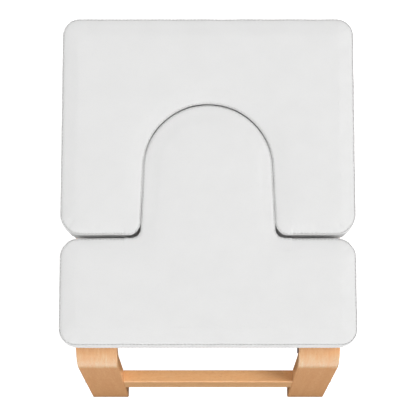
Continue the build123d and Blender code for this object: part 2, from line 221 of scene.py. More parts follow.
def add_piece(obj, body, slot, material, *replaced):
    """Gives a piece its material and body, and hides the CAD nodes that it stands for; its slot is not
    used.
    """
    obj.data.materials.clear()
    obj.data.materials.append(material)
    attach(obj, body)
    if replaced:
        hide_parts(*replaced)
    return obj


# Outlines ---------------------------------------------------------------------------------------


class Outline:
    """Evenly spaced points round a closed outline, anticlockwise, with normals that point outwards.

    Each point's room is how far the outline can be drawn in there, which is the radius of an outer corner.
    Its bulge scales how far it moves out in a ring outside the outline, negative where it moves in instead,
    and its square is how much less than the rest it is drawn in where the rings go inwards.
    """

    def __init__(self, corners, pitch, multiple):
        pieces = []
        count = len(corners)
        ends = [self.corner(corners[i - 1], corners[i], corners[(i + 1) % count]) for i in range(count)]
        for index, (start, stop, centre, radius, turn) in enumerate(ends):
            previous_stop = ends[index - 1][1]
            run = np.linalg.norm(start - previous_stop)
            pieces.append(("line", run, previous_stop, start, None, None, None))
            pieces.append(("arc", radius * abs(turn), start, stop, centre, radius, turn))
        total = sum(piece[1] for piece in pieces)
        self.count = round(total / pitch / multiple) * multiple
        self.pitch = total / self.count
        self.points = np.zeros((self.count, 2))
        self.tangents = np.zeros((self.count, 2))
        self.room = np.full(self.count, 1.0)
        which, passed = 0, 0.0
        for index in range(self.count):
            distance = index * self.pitch
            while distance > passed + pieces[which][1]:
                passed += pieces[which][1]
                which += 1
            self.place(index, pieces[which], distance - passed)
        self.normals = np.stack([self.tangents[:, 1], -self.tangents[:, 0]], axis=1)
        self.bulge = np.ones(self.count)
        self.square = np.zeros(self.count)

    @staticmethod
    def corner(before, here, after):
        """Start, stop, centre, radius and signed turn of the arc that rounds one corner."""
        point = np.array(here[:2])
        arriving = point - np.array(before[:2])
        leaving = np.array(after[:2]) - point
        arriving /= np.linalg.norm(arriving)
        leaving /= np.linalg.norm(leaving)
        cross = arriving[0] * leaving[1] - arriving[1] * leaving[0]
        turn = math.atan2(cross, arriving @ leaving)
        reach = here[2] * math.tan(abs(turn) / 2)
        start, stop = point - reach * arriving, point + reach * leaving
        left = np.array([-arriving[1], arriving[0]])
        centre = start + math.copysign(here[2], turn) * left
        return start, stop, centre, here[2], turn

    def place(self, index, piece, along):
        """Sets the point at one index, at a distance along a straight or round piece of the outline."""
        kind, length, start, stop, centre, radius, turn = piece
        if kind == "line":
            tangent = (stop - start) / length
            self.points[index] = start + along * tangent
        else:
            angle = turn * along / length
            spoke = start - centre
            cos, sin = math.cos(angle), math.sin(angle)
            spoke = np.array([cos * spoke[0] - sin * spoke[1], sin * spoke[0] + cos * spoke[1]])
            self.points[index] = centre + spoke
            tangent = np.array([-spoke[1], spoke[0]]) / radius * math.copysign(1, turn)
            if turn > 0:
                self.room[index] = radius
        self.tangents[index] = tangent

    def ring(self, inset, z):
        """The outline drawn in by inset, at height z. A tight corner is never drawn in past its centre."""
        inset = inset * self.bulge if inset < 0 else inset - self.square * (1 - math.exp(-inset / MM))
        depth = np.minimum(inset, 0.97 * self.room)[:, None]
        flat = self.points - depth * self.normals
        return np.column_stack([flat, np.broadcast_to(z, self.count)])

    def thinned(self, stride):
        """The same outline with only every so many of its points."""
        other = object.__new__(Outline)
        for name in ("points", "tangents", "normals", "room", "bulge", "square"):
            setattr(other, name, getattr(self, name)[::stride])
        other.count, other.pitch = len(other.points), self.pitch * stride
        return other

    def depth_inside(self, places):
        """How deep each flat place lies inside the outline; negative outside it."""
        gaps = places[:, None, :] - self.points[None, :, :]
        squares = (gaps**2).sum(axis=2)
        nearest = squares.argmin(axis=1)
        rows = np.arange(len(places))
        side = (gaps[rows, nearest] * self.normals[nearest]).sum(axis=1)
        return np.sqrt(squares[rows, nearest]) * np.where(side < 0, 1, -1)


def drawn_in(corners, inset):
    """The corners of an outline that runs inside another at a constant distance."""
    moved = []
    for before, here, after in zip(corners[-1:] + corners, corners, corners[1:] + corners[:1]):
        point = np.array(here[:2])
        arriving = point - np.array(before[:2])
        leaving = np.array(after[:2]) - point
        arriving /= np.linalg.norm(arriving)
        leaving /= np.linalg.norm(leaving)
        sides = arriving + leaving
        inwards = np.array([-sides[1], sides[0]]) / (1 + arriving @ leaving)
        convex = arriving[0] * leaving[1] > arriving[1] * leaving[0]
        radius = max(here[2] - inset, 3 * MM) if convex else here[2] + inset
        moved.append((*(point + inset * inwards), radius))
    return moved


def flare_x(radius, y):
    """Half the width between the opening's straight sides at y, for the round end's radius."""
    apex = OPENING_CENTRE_Y + radius / math.sin(FLARE)
    return (apex - y) * math.tan(FLARE)


def shoulder_corners():
    """Corners of the U-shaped pad, as (x, y, radius)."""
    low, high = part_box("shoulder_pad_side_band")
    apex = OPENING_CENTRE_Y + OPENING_RADIUS / math.sin(FLARE)
    mouth = flare_x(OPENING_RADIUS, low.y)
    return [
        (high.x, low.y, ARM_CORNER),
        (high.x, high.y, REAR_CORNER),
        (low.x, high.y, REAR_CORNER),
        (low.x, low.y, ARM_CORNER),
        (-mouth, low.y, MOUTH_CORNER),
        (0.0, apex, OPENING_RADIUS),
        (mouth, low.y, MOUTH_CORNER),
    ]


def insert_corners():
    """Corners of the T-shaped pad, as (x, y, radius)."""
    low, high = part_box("insert_pad_side_band")
    rear = MOUTH_Y - PAD_GAP
    apex = OPENING_CENTRE_Y + TONGUE_RADIUS / math.sin(FLARE)
    neck = flare_x(TONGUE_RADIUS, rear)
    return [
        (low.x, low.y, INSERT_FRONT_CORNER),
        (high.x, low.y, INSERT_FRONT_CORNER),
        (high.x, rear, INSERT_REAR_CORNER),
        (neck, rear, NECK_FILLET),
        (0.0, apex, TONGUE_RADIUS),
        (-neck, rear, NECK_FILLET),
        (low.x, rear, INSERT_REAR_CORNER),
    ]


# Skins ------------------------------------------------------------------------------------------


def strips(ring_count, points_per_ring, first=0):
    """Quads between rings that follow each other, so that their outer side shows."""
    faces = []
    for row in range(ring_count - 1):
        a = first + row * points_per_ring
        b = a + points_per_ring
        for i in range(points_per_ring):
            j = (i + 1) % points_per_ring
            faces.append((a + i, a + j, b + j, b + i))
    return faces


def fill(outline, inset, pitch, height):
    """Inner points and triangles that close the ring at inset. height(depth, places) gives their z."""
    ring = outline.ring(inset, 0.0)[:, :2]
    low, high = outline.points.min(axis=0), outline.points.max(axis=0)
    rows = np.arange(low[1], high[1], pitch * math.sqrt(3) / 2)
    spots = []
    for number, y in enumerate(rows):
        xs = np.arange(low[0] + (number % 2) * pitch / 2, high[0], pitch)
        spots.append(np.column_stack([xs, np.full(len(xs), y)]))
    spots = np.concatenate(spots)
    depth = outline.depth_inside(spots)
    spots = spots[depth > inset + 0.6 * pitch]
    loop = [(i, (i + 1) % len(ring)) for i in range(len(ring))]
    flat = [Vector(p) for p in np.concatenate([ring, spots])]
    _, _, triangles, origins, _, _ = delaunay_2d_cdt(flat, loop, [], 1, 1e-7)
    numbers = {new: old[0] for new, old in enumerate(origins) if old}
    triangles = [tuple(numbers[v] for v in t) for t in triangles]
    z = height(outline.depth_inside(spots), spots)
    return np.column_stack([spots, z]), triangles


def skin(outline, profile, fill_pitch=None, height=None):
    """Rings along a profile of (inset, z), closed over the last ring where a fill is asked for."""
    rings = [outline.ring(inset, z) for inset, z in profile]
    points = np.concatenate(rings)
    faces = strips(len(rings), outline.count)
    if fill_pitch is not None:
        inner, triangles = fill(outline, profile[-1][0], fill_pitch, height)
        last = (len(rings) - 1) * outline.count
        extra = len(points)
        for t in triangles:
            faces.append(tuple(last + v if v < outline.count else extra + v - outline.count for v in t))
        points = np.concatenate([points, inner])
    return points, faces


def ring_numbers(outline, number):
    """The numbers of a skin's points that lie on one of its rings."""
    start = number * outline.count
    return np.arange(start, start + outline.count)


# Pads -------------------------------------------------------------------------------------------


def leather_profiles(top, bottom, fold, groove, roundness):
    """Cross-sections of the cover, as (inset, z): the top panel and the side band, up from below.

    The band folds over the top edge as a narrow ridge and meets the panel in a groove just inside it. The
    fold, the groove and the roundness each have a value for every point of the outline.
    """
    panel = [(1.7, groove - 1), (1.5, groove), (1.65, -2.75), (2.1, -2.2), (2.9, -1.6), (3.9, -1.1)]
    panel += [(5.4, -0.7), (7.6, -0.35)]
    hem = [(18, 0), (8, 0), (4, 0), (2.8, 0.15), (1.8, 0.7), (1.0, 1.7), (0.5, 3.0), (0.2, 5), (0.05, 8)]
    wall = [(-0.25, 14), (-0.5, 22), (-0.6, 31), (-0.5, 40), (-0.25, 47)]
    ridge = [(0.02, -5.2), (0.15, -3.7), (0.4, -2.95), (0.75, fold), (1.1, fold - 0.1)]
    ridge += [(1.35, groove), (1.45, groove - 1)]
    panel = [(inset * MM, top + z * roundness * MM) for inset, z in panel]
    panel.append((PANEL_RIM, top - PANEL_RIM_DROP))
    band = [(inset * MM, bottom + z * MM) for inset, z in hem + wall]
    band += [(inset * MM, top + z * roundness * MM) for inset, z in ridge]
    return panel, band


def foam_profile(top, bottom):
    """Cross-section of the foam core, as (inset, z), up from the board."""
    low = [(2.6, 0.1), (2.1, 0.6), (2.0, 20)]
    high = [(2.0, -9), (2.6, -6.2), (3.6, -4.4), (5.2, -2.9), (7.5, -2.1), (10, -1.7)]
    profile = [(inset * MM, bottom + z * MM) for inset, z in low]
    return profile + [(inset * MM, top + z * MM) for inset, z in high]


def crowned(rim):
    """A height that rises gently from the rim, given as (inset, z), towards the middle of a pad."""
    edge_inset, edge_z = rim

    def height(depth, places):
        rise = 1 - np.exp(-(depth - edge_inset) / CROWN_REACH)
        return edge_z + CROWN * rise

    return height


def swell(outline, facing, top, bottom):
    """Cloth simulation of the cover under the foam's pressure: rest points and how far each moves."""
    profile = [(0.1, 2), (0, 10), (-0.2, 20), (-0.3, 30), (-0.2, 40), (0.1, 50)]
    profile = [(inset * MM, bottom + z * MM) for inset, z in profile]
    seam_ring = len(profile)
    rim = [(0.85, -2.6), (2.3, -2.05), (4, -1.1), (7, -0.45), (11, -0.15)]
    profile += [(inset * MM, top + z * MM) for inset, z in rim]
    coarse = outline.thinned(SIM_STRIDE)
    points, faces = skin(coarse, profile, SIM_FILL_PITCH, crowned(profile[-1]))
    obj = new_object("swelling_cover", points, faces)
    pinned = obj.vertex_groups.new(name="pinned")
    for ring in (0, seam_ring):
        pinned.add(ring_numbers(coarse, ring).tolist(), 1.0, "REPLACE")
    cloth = obj.modifiers.new("cloth", "CLOTH").settings
    cloth.quality = 6
    cloth.mass = 0.4
    cloth.tension_stiffness = 30
    cloth.compression_stiffness = 30
    cloth.shear_stiffness = 10
    cloth.bending_stiffness = 2
    cloth.use_pressure = True
    cloth.uniform_pressure_force = SIM_PRESSURE
    cloth.vertex_group_mass = "pinned"
    cloth.effector_weights.gravity = 0
    obj.modifiers["cloth"].point_cache.frame_end = SIM_FRAMES
    for number in range(1, SIM_FRAMES + 1):
        bpy.context.scene.frame_set(number)
    apply_modifiers(obj)
    moved = np.array([v.co for v in obj.data.vertices]) - points
    bpy.context.scene.frame_set(1)
    bpy.data.objects.remove(obj)
    on_top = points[:, 2] > top - 3 * MM
    cap = np.where(on_top, TOP_SWELL_CAP, SIDE_SWELL_CAP)
    rings = len(profile)
    shares = np.where(facing[::SIM_STRIDE], FACING_SWELL_SHARE, 1.0)
    cap[: rings * coarse.count] *= np.tile(shares, rings)
    size = np.linalg.norm(moved, axis=1)
    return points, moved * np.minimum(1, cap / np.maximum(size, 1e-9))[:, None]


def swollen(points, field):
    """The points, moved as the simulated cover moved near them."""
    if field is None:
        return points
    rest, moved = field
    tree = KDTree(len(rest))
    for index, place in enumerate(rest):
        tree.insert(place, index)
    tree.balance()
    out = points.copy()
    for index, place in enumerate(points):
        near = tree.find_n(place, 5)
        weights = np.array([1 / (distance + 0.5 * MM) ** 2 for _, _, distance in near])
        out[index] += weights @ moved[[number for _, number, _ in near]] / weights.sum()
    return out


def pucker(points, outline, rings):
    """Draws the leather in at each needle hole along the given rings."""
    phase = 2 * math.pi * np.arange(outline.count) / POINTS_PER_STITCH
    for ring, strength in rings.items():
        numbers = ring_numbers(outline, ring)
        depth = PUCKER * strength * (1 - np.cos(phase))
        points[numbers, :2] -= depth[:, None] * outline.normals
    return points


def stitch_row(name, line, outward):
    """Thread along a closed line of points: one short stitch per pitch, its ends sunk in the leather."""
    sides, steps = 6, 7
    count = len(line) // POINTS_PER_STITCH
    reach = STITCH_SPAN / 2 / (STITCH_PITCH / POINTS_PER_STITCH)
    points, faces = [], []
    for stitch in range(count):
        first = len(points)
        slant = rng.uniform(-0.12, 0.12) * MM
        for step in range(steps):
            share = 2 * step / (steps - 1) - 1
            place = stitch * POINTS_PER_STITCH + share * reach
            low = math.floor(place)
            part = place - low
            a, b = low % len(line), (low + 1) % len(line)
            centre = (1 - part) * line[a] + part * line[b]
            out = (1 - part) * outward[a] + part * outward[b]
            along = line[b] - line[a]
            along /= np.linalg.norm(along)
            out /= np.linalg.norm(out)
            across = np.cross(along, out)
            lift = THREAD_RADIUS * (0.55 - 1.5 * share**4)
            radius = THREAD_RADIUS * (1 - 0.45 * share**4)
            centre = centre + lift * out + slant * share * across
            for side in range(sides):
                angle = 2 * math.pi * side / sides
                points.append(centre + radius * (math.cos(angle) * across + math.sin(angle) * out))
        for step in range(steps - 1):
            for side in range(sides):
                a = first + step * sides + side
                b = first + step * sides + (side + 1) % sides
                faces.append((a, b, b + sides, a + sides))
        faces.append(tuple(first + side for side in reversed(range(sides))))
        faces.append(tuple(first + (steps - 1) * sides + side for side in range(sides)))
    return new_object(name, points, faces)


def shape_sides(outline):
    """Swells an outline into the slit and the gap and lets it wander; tells which points lie on each."""
    x, y = np.abs(outline.points[:, 0]), outline.points[:, 1]
    facing = (x < SLIT_REACH_X) & (y > SLIT_LOW_Y) & (y < SLIT_HIGH_Y)
    across_gap = (np.abs(y - GAP_MIDDLE_Y) < GAP_REACH_Y) & (x > SLIT_REACH_X - MOUTH_CORNER)
    outline.bulge = np.where(facing, -1.0, 1.0)
    outline.square = np.where(facing, SLIT_SQUARENESS, 0.0)
    arch = np.clip((y - OPENING_CENTRE_Y) / (0.9 * OPENING_RADIUS), 0, 1)
    reach = SLIT_SWELL_SIDE + arch * (SLIT_SWELL_ARCH - SLIT_SWELL_SIDE)
    reach *= facing * np.clip((y - MOUTH_Y + SLIT_SWELL_FADE) / (2 * SLIT_SWELL_FADE), 0, 1)
    outline.points = outline.points + (reach - wander(outline))[:, None] * outline.normals
    across = outline.normals[:, 1]
    outline.points[:, 1] += across_gap * GAP_SWELL * across * np.abs(across)
    return facing, across_gap


def cover_part(name, outline, points, faces, field, puckers, thread_ring):
    """One leather piece of a cover, with the line that its thread follows and the way out from it."""
    points = pucker(swollen(points, field), outline, puckers)
    line = points[ring_numbers(outline, thread_ring)]
    out = outward(points, outline, thread_ring - 1, thread_ring + 1)
    return solidify(new_object(name, points, faces), LEATHER), line, out


def pad(name, short, body, corners):
    """One upholstered pad: leather panel and band, two rows of thread, foam core and dust cloth."""
    outline = Outline(corners, STITCH_PITCH / POINTS_PER_STITCH, POINTS_PER_STITCH * SIM_STRIDE)
    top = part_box(name + "_top_panel")[1].z
    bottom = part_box(name + "_side_band")[0].z
    board_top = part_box(name + "_board")[1].z
    facing, across_gap = shape_sides(outline)
    field = swell(outline, facing, top, bottom)

    fold, groove = np.where(facing, *FOLD_HEIGHTS), np.where(facing, *GROOVE_HEIGHTS)
    roundness = np.where(facing, SLIT_ROUNDNESS, np.where(across_gap, GAP_ROUNDNESS, 1.0))
    panel, band = leather_profiles(top, bottom, fold, groove, roundness)
    cover_name = short + "_cover_"
    points, faces = skin(outline, panel, FILL_PITCH, crowned(panel[-1]))
    cover, seam_line, seam_out = cover_part(
        cover_name + "top_panel", outline, points, faces, field, PANEL_PUCKERS, SEAM_RING
    )
    add_piece(cover, body, "leatherette", leather, name + "_top_panel")

    points, faces = skin(outline, band)
    side, hem_line, hem_out = cover_part(
        cover_name + "side_band", outline, points, faces, field, BAND_PUCKERS, HEM_RING
    )
    add_piece(side, body, "leatherette", leather, name + "_side_band")

    for row, line, out in (("topstitch", seam_line, seam_out), ("hem_stitch", hem_line, hem_out)):
        add_piece(stitch_row(cover_name + row, line, out), body, "leatherette", thread)

    core = foam_core(short, outline, foam_profile(top, board_top), field)
    add_piece(core, body, "foam", foam, name + "_foam")
    cut = Outline(drawn_in(corners, DUST_COVER_INSET), DUST_CLOTH_EDGE_PITCH, 4)
    cloth = dust_cloth(short, cut, name)
    add_piece(cloth, body, "dust_cloth", dust_fabric, name + "_dust_cover")


def wander(outline):
    """A hand-sewn edge's slow wander along its length."""
    turns = 2 * math.pi * np.arange(outline.count) / outline.count
    waves = [(rng.integers(9, 30), rng.uniform(0, 2 * math.pi)) for _ in range(5)]
    return SEAM_WANDER * sum(np.sin(n * turns + phase) for n, phase in waves) / 3


def outward(points, outline, below, above):
    """The surface's outward direction along the ring between two others."""
    rise = points[ring_numbers(outline, above)] - points[ring_numbers(outline, below)]
    along = np.column_stack([outline.tangents, np.zeros(outline.count)])
    out = np.cross(along, rise)
    return out / np.linalg.norm(out, axis=1)[:, None]


def foam_core(short, outline, profile, field):
    """Foam under the cover: it swells with the cover, apart from its flat base on the board."""
    points, faces = skin(outline, profile, FOAM_FILL_PITCH, crowned(profile[-1]))
    inset, z = profile[0]
    inner, triangles = fill(outline, inset, FOAM_BASE_PITCH, lambda depth, places: np.full(len(places), z))
    extra = len(points)
    for a, b, c in triangles:
        faces.append(tuple(v if v < outline.count else extra + v - outline.count for v in (c, b, a)))
    points = np.concatenate([points, inner])
    above = points[:, 2] > z + 1 * MM
    points[above] = swollen(points[above], field)
    return new_object(short + "_foam_core", points, faces)


def dust_cloth(short, outline, name):
    """Thin cloth under the board, drawn tight, with a faint slackness between its fixings."""
    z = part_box(name + "_dust_cover")[1].z - DUST_CLOTH_ROOM

    def height(depth, places):
        ripple = np.sin(places[:, 0] / (9 * MM)) * np.sin(places[:, 1] / (13 * MM))
        return z + DUST_CLOTH_RIPPLE * ripple

    inner, triangles = fill(outline, 0.0, DUST_CLOTH_PITCH, height)
    points = np.concatenate([outline.ring(0.0, z), inner])
    return solidify(new_object(short + "_dust_cloth", points, triangles), DUST_CLOTH, 1.0)


def pull_tab():
    """A strap of webbing folded double, its fold rounded and standing out in front."""
    low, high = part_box("insert_pad_pull_tab")
    middle = (low.x + high.x) / 2 + TAB_OFFSET
    fold = low.y + TAB_FOLD_ROOM
    inwards = [(middle + TAB_HALF_GAP, high.y - t * (high.y - fold)) for t in np.linspace(0, 1, 14)]
    bend = [
        (middle + TAB_FOLD_RADIUS * math.cos(a), fold - TAB_FOLD_RADIUS * math.sin(a))
        for a in np.linspace(TAB_FOLD_TRIM, math.pi - TAB_FOLD_TRIM, 9)
    ]
    back = [(middle - TAB_HALF_GAP, fold + t * (high.y - fold)) for t in np.linspace(0, 1, 14)]
    path = np.array(inwards + bend + back)
    tangent = np.gradient(path, axis=0)
    tangent /= np.linalg.norm(tangent, axis=1)[:, None]
    normal = np.stack([tangent[:, 1], -tangent[:, 0]], axis=1)
    levels = np.linspace(low.z, high.z, 12)
    points = []
    for level, z in enumerate(levels):
        edge = 0.8 if level in (0, len(levels) - 1) else 1.0
        for side in (-1, 1):
            ripple = TAB_RIPPLE * math.sin(level * 1.9)
            flat = path + side * (TAB_THICKNESS / 2 * edge) * normal + ripple * normal
            points += [(*place, z) for place in flat]
    across = len(path)
    row = 2 * across
    faces = []
    for base in range(0, (len(levels) - 1) * row, row):
        for near in range(base, base + across - 1):
            far = near + across
            faces.append((near, near + row, near + row + 1, near + 1))
            faces.append((far, far + 1, far + 1 + row, far + row))
        last = base + across - 1
        faces.append((base, base + across, base + across + row, base + row))
        faces.append((last, last + row, last + across + row, last + across))
    end = (len(levels) - 1) * row
    for i in range(across - 1):
        faces.append((i, i + 1, i + 1 + across, i + across))
        faces.append((end + i, end + i + across, end + i + 1 + across, end + i + 1))
    return new_object("insert_pull_tab_webbing", points, faces)


# Materials --------------------------------------------------------------------------------------


class Material:
    """A node material under construction round its Principled shader."""

    def __init__(self, name, roughness, **fixed):
        self.made = bpy.data.materials.new(name)
        self.made.use_nodes = True
        self.tree = self.made.node_tree
        self.shader = self.tree.nodes["Principled BSDF"]
        self.shader.inputs["Roughness"].default_value = roughness
        for socket, value in fixed.items():
            self.shader.inputs[socket.replace("_", " ")].default_value = value
        self.place = self.node("TexCoord", {}).outputs["Object"]
        self.x, self.y, self.z = self.node("SeparateXYZ", {0: self.place}).outputs[:]

    def node(self, kind, inputs, **settings):
        """A new node, its sockets given by name or number as constants or as other sockets."""
        node = self.tree.nodes.new("ShaderNode" + kind)
        for name, value in settings.items():
            setattr(node, name, value)
        for key, value in inputs.items():
            if isinstance(value, bpy.types.NodeSocket):
                self.tree.links.new(value, node.inputs[key])
            else:
                node.inputs[key].default_value = value
        return node

    def math(self, operation, *values):
        return self.node("Math", dict(enumerate(values)), operation=operation).outputs[0]

    def vector(self, x, y, z):
        return self.node("CombineXYZ", {0: x, 1: y, 2: z}).outputs[0]

    def stretched(self, x, y, z, sizes):
        """Coordinates divided by the size of the detail wanted along each of them."""
        parts = [self.math("DIVIDE", value, size) for value, size in zip((x, y, z), sizes)]
        return self.vector(*parts)

    def noise(self, vector, scale=1.0, detail=2.0, roughness=0.5):
        inputs = {"Vector": vector, "Scale": scale, "Detail": detail, "Roughness": roughness}
        return self.node("TexNoise", inputs).outputs[0]

    def streaks(self, x, y, z, sizes, detail, low, high, roughness=0.5):
        """Noise stretched to the given sizes, spread out between two of its levels."""
        return self.levels(self.noise(self.stretched(x, y, z, sizes), 1, detail, roughness), low, high)

    def cells(self, vector, scale, feature="F1"):
        inputs = {"Vector": vector, "Scale": scale}
        return self.node("TexVoronoi", inputs, feature=feature).outputs["Distance"]

    def levels(self, value, low, high, to_low=0.0, to_high=1.0):
        return self.node("MapRange", {0: value, 1: low, 2: high, 3: to_low, 4: to_high}).outputs[0]

    def mix(self, factor, a, b):
        a, b = (value if isinstance(value, bpy.types.NodeSocket) else (*value, 1.0) for value in (a, b))
        return self.node("Mix", {0: factor, 6: a, 7: b}, data_type="RGBA").outputs[2]

    def finish(self, colour, height=None, depth=0.0, roughness=None):
        """Wires colour, relief of the given depth in metres, and roughness into the shader."""
        self.tree.links.new(colour, self.shader.inputs["Base Color"])
        if roughness is not None:
            self.tree.links.new(roughness, self.shader.inputs["Roughness"])
        if height is not None:
            bump = self.node("Bump", {"Height": height, "Distance": depth, "Strength": 1.0})
            self.tree.links.new(bump.outputs[0], self.shader.inputs["Normal"])
        return self.made


def leatherette():
    """White PU leatherette: fine pebbles with creases between them, painted shade in the creases, and a
    faint mottling.
    """
    m = Material("white_leatherette", 0.5, Specular_IOR_Level=0.35)
    warp = m.noise(m.place, 260, 2)
    pebbles = m.cells(m.place, 900, "SMOOTH_F1")
    creases = m.cells(m.place, 520, "DISTANCE_TO_EDGE")
    relief = m.math("ADD", m.levels(creases, 0.0, 0.12), m.math("MULTIPLY", pebbles, -0.5))
    relief = m.math("ADD", relief, m.math("MULTIPLY", warp, 0.6))
    mottling = m.levels(m.noise(m.place, 28, 3), 0.35, 0.65)
    colour = m.mix(mottling, (0.775, 0.775, 0.772), (0.79, 0.79, 0.787))
    # Painted shade: the colour is darkened along the creases between the pebbles
    colour = m.mix(m.levels(creases, 0.0, 0.08, 0.25, 0.0), colour, (0.70, 0.70, 0.695))
    sheen = m.levels(m.noise(m.place, 90, 2), 0.3, 0.7, 0.46, 0.58)
    return m.finish(colour, relief, 0.03 * MM, sheen)


def sewing_thread():
    """Twisted polyester thread: its plies wind round it at a steep slant, with painted shade between them.
    """
    m = Material("white_thread", 0.6)
    slant = m.math("ADD", m.math("ADD", m.x, m.y), m.math("MULTIPLY", m.z, 1.6))
    ply = m.math("SINE", m.math("MULTIPLY", slant, 2 * math.pi / (0.55 * MM)))
    fuzz = m.noise(m.place, 4000, 2)
    # Painted shade: the thread is darker in the grooves between its plies
    colour = m.mix(m.levels(ply, -1, 1), (0.62, 0.62, 0.61), (0.78, 0.78, 0.77))
    return m.finish(m.mix(m.levels(fuzz, 0.3, 0.7, 0, 0.3), colour, (0.70, 0.70, 0.69)), ply, 0.06 * MM)


def wood(m, x, y, z, light, dark, fleck):
    """Colour and relief of beech, with its grain along the last of the three coordinates given."""
    tone = m.streaks(x, y, z, (9 * MM, 9 * MM, 170 * MM), 3, 0.3, 0.7)
    figure = m.streaks(x, y, z, (3.2 * MM, 3.2 * MM, 17 * MM), 3, 0.3, 0.7, 0.6)
    lines = m.streaks(x, y, z, (0.9 * MM, 0.9 * MM, 38 * MM), 3, 0.35, 0.65)
    spots = m.streaks(x, y, z, (0.7 * MM, 0.7 * MM, 4.5 * MM), 1, 0.58, 0.70)
    pores = m.streaks(x, y, z, (0.22 * MM, 0.22 * MM, 2.4 * MM), 1, 0.62, 0.75)
    colour = m.mix(m.math("MULTIPLY", tone, 0.55), light, dark)
    colour = m.mix(m.math("MULTIPLY", figure, 0.7), colour, dark)
    colour = m.mix(m.math("MULTIPLY", lines, 0.35), colour, dark)
    colour = m.mix(m.math("MULTIPLY", spots, 0.40), colour, fleck)
    colour = m.mix(m.math("MULTIPLY", pores, 0.30), colour, fleck)
    relief = m.math("SUBTRACT", m.math("MULTIPLY", lines, 0.3), pores)
    return colour, relief


def bentwood():
    """Laminated strip: the grain follows the bend, the edges show the glued veneers, and the bend has a
    painted highlight.
    """
    m = Material("bent_beech", 0.6, Specular_IOR_Level=0.1, Coat_Weight=0.7, Coat_Roughness=0.2)
    out = m.math("SUBTRACT", m.math("ABSOLUTE", m.y), RAIL_STRAIGHT / 2)
    up = m.math("SUBTRACT", m.z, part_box("right_side_frame")[1].z - BEND_RADIUS)
    angle = m.levels(m.math("ARCTAN2", out, up), 0.0, math.pi / 2 - SPLAY, 0.0, math.pi / 2 - SPLAY)
    sine, cosine = m.math("SINE", angle), m.math("COSINE", angle)
    reach = m.math("ADD", m.math("MULTIPLY", out, sine), m.math("MULTIPLY", up, cosine))
    depth = m.math("SUBTRACT", BEND_RADIUS, reach)
    straight = m.math("SUBTRACT", m.math("MULTIPLY", out, cosine), m.math("MULTIPLY", up, sine))
    along = m.math("ADD", m.math("MULTIPLY", angle, BEND_RADIUS), straight)
    veneer = m.math("ADD", m.math("DIVIDE", depth, PLY), 0.5)
    number, part = m.math("FLOOR", veneer), m.math("FRACT", veneer)
    across = m.math("ADD", m.x, m.math("MULTIPLY", number, 37 * MM))
    # Painted highlight: the outside of the bend is mixed towards a pale colour, ending sharply where the
    # leg starts
    painted_highlight_share = m.levels(angle, 0.6, 1.0, 0.0, 0.45)
    painted_highlight_share = m.math("MULTIPLY", painted_highlight_share, m.levels(angle, 1.38, 1.43, 1.0, 0.0))
    face_with_painted_highlight = m.mix(painted_highlight_share, BEECH_LIGHT, BEECH_PAINTED_HIGHLIGHT)
    colour, relief = wood(m, across, depth, along, face_with_painted_highlight, BEECH_DARK, BEECH_FLECK)
    alternate = m.math("MULTIPLY", m.math("FRACT", m.math("MULTIPLY", number, 0.382)), 0.3)
    colour = m.mix(alternate, colour, BEECH_DARK)
    glue = m.levels(m.math("ABSOLUTE", m.math("SUBTRACT", part, 0.5)), 0.44, 0.49)
    colour = m.mix(m.math("MULTIPLY", glue, 0.65), colour, (0.28, 0.14, 0.06))
    relief = m.math("SUBTRACT", relief, glue)
    return m.finish(colour, relief, 0.05 * MM)


def solid_beech(name, axis, light, dark, coat=0.7):
    """Turned or planed solid beech with its grain along one axis."""
    m = Material(name, 0.6, Specular_IOR_Level=0.1, Coat_Weight=coat, Coat_Roughness=0.25)
    order = {"x": (m.y, m.z, m.x), "z": (m.x, m.y, m.z)}[axis]
    colour, relief = wood(m, *order, light, dark, BEECH_FLECK)
    return m.finish(colour, relief, 0.05 * MM)


def plywood():
    """Sanded birch plywood: crossed veneers show along its edges."""
    m = Material("birch_plywood", 0.65)
    rise = m.math("SUBTRACT", m.z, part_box("shoulder_pad_board")[0].z)
    sheet = m.math("DIVIDE", rise, PLYWOOD_PLY)
    number, part = m.math("FLOOR", sheet), m.math("FRACT", sheet)
    shifted = m.math("ADD", m.y, m.math("MULTIPLY", number, 53 * MM))
    colour, relief = wood(m, shifted, m.z, m.x, PLYWOOD_LIGHT, PLYWOOD_DARK, PLYWOOD_FLECK)
    odd = m.math("MODULO", number, 2.0)
    colour = m.mix(m.math("MULTIPLY", odd, 0.35), colour, (0.50, 0.33, 0.18))
    glue = m.levels(m.math("ABSOLUTE", m.math("SUBTRACT", part, 0.5)), 0.43, 0.49)
    colour = m.mix(m.math("MULTIPLY", glue, 0.5), colour, (0.22, 0.13, 0.07))
    return m.finish(colour, relief, 0.08 * MM)


def upholstery_foam():
    """Open-cell foam, with painted shade in its pores."""
    m = Material("upholstery_foam", 0.95)
    cells = m.cells(m.place, 1400)
    large = m.cells(m.place, 420)
    tint = m.levels(m.noise(m.place, 45, 3), 0.3, 0.7)
    colour = m.mix(tint, (0.78, 0.74, 0.60), (0.84, 0.81, 0.69))
    # Painted shade: the foam is darkened in the pits of its cells
    colour = m.mix(m.levels(cells, 0.0, 0.35, 0.55, 0.0), colour, (0.42, 0.38, 0.27))
    relief = m.math("ADD", cells, m.math("MULTIPLY", large, 0.5))
    return m.finish(colour, relief, 0.4 * MM)


